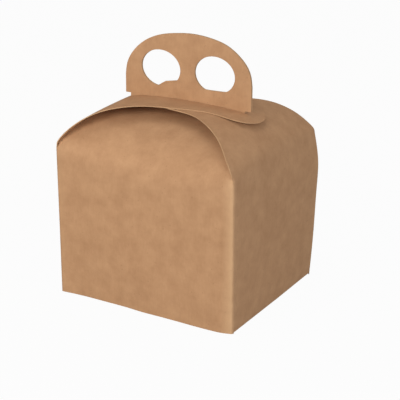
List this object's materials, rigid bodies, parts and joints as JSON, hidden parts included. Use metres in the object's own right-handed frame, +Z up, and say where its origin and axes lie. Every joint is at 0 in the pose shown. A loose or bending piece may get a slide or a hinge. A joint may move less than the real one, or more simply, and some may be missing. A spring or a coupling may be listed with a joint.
{
  "type": "cake box",
  "caption": "Plain kraft card cake box, folded closed, with rolled top flaps locked round an upright carry handle with finger holes.",
  "frame": {"origin": "middle of the base, on the ground", "axes": "+X across the front from left to right, +Y from the front wall to the back wall, +Z up; the front wall faces -Y"},
  "size_m": [0.1162, 0.093, 0.1461],
  "materials": {
    "kraft_card": "matt uncoated brown kraft board"
  },
  "bodies": {
    "root": {"carton": "kraft_card"}
  },
  "joints": []
}
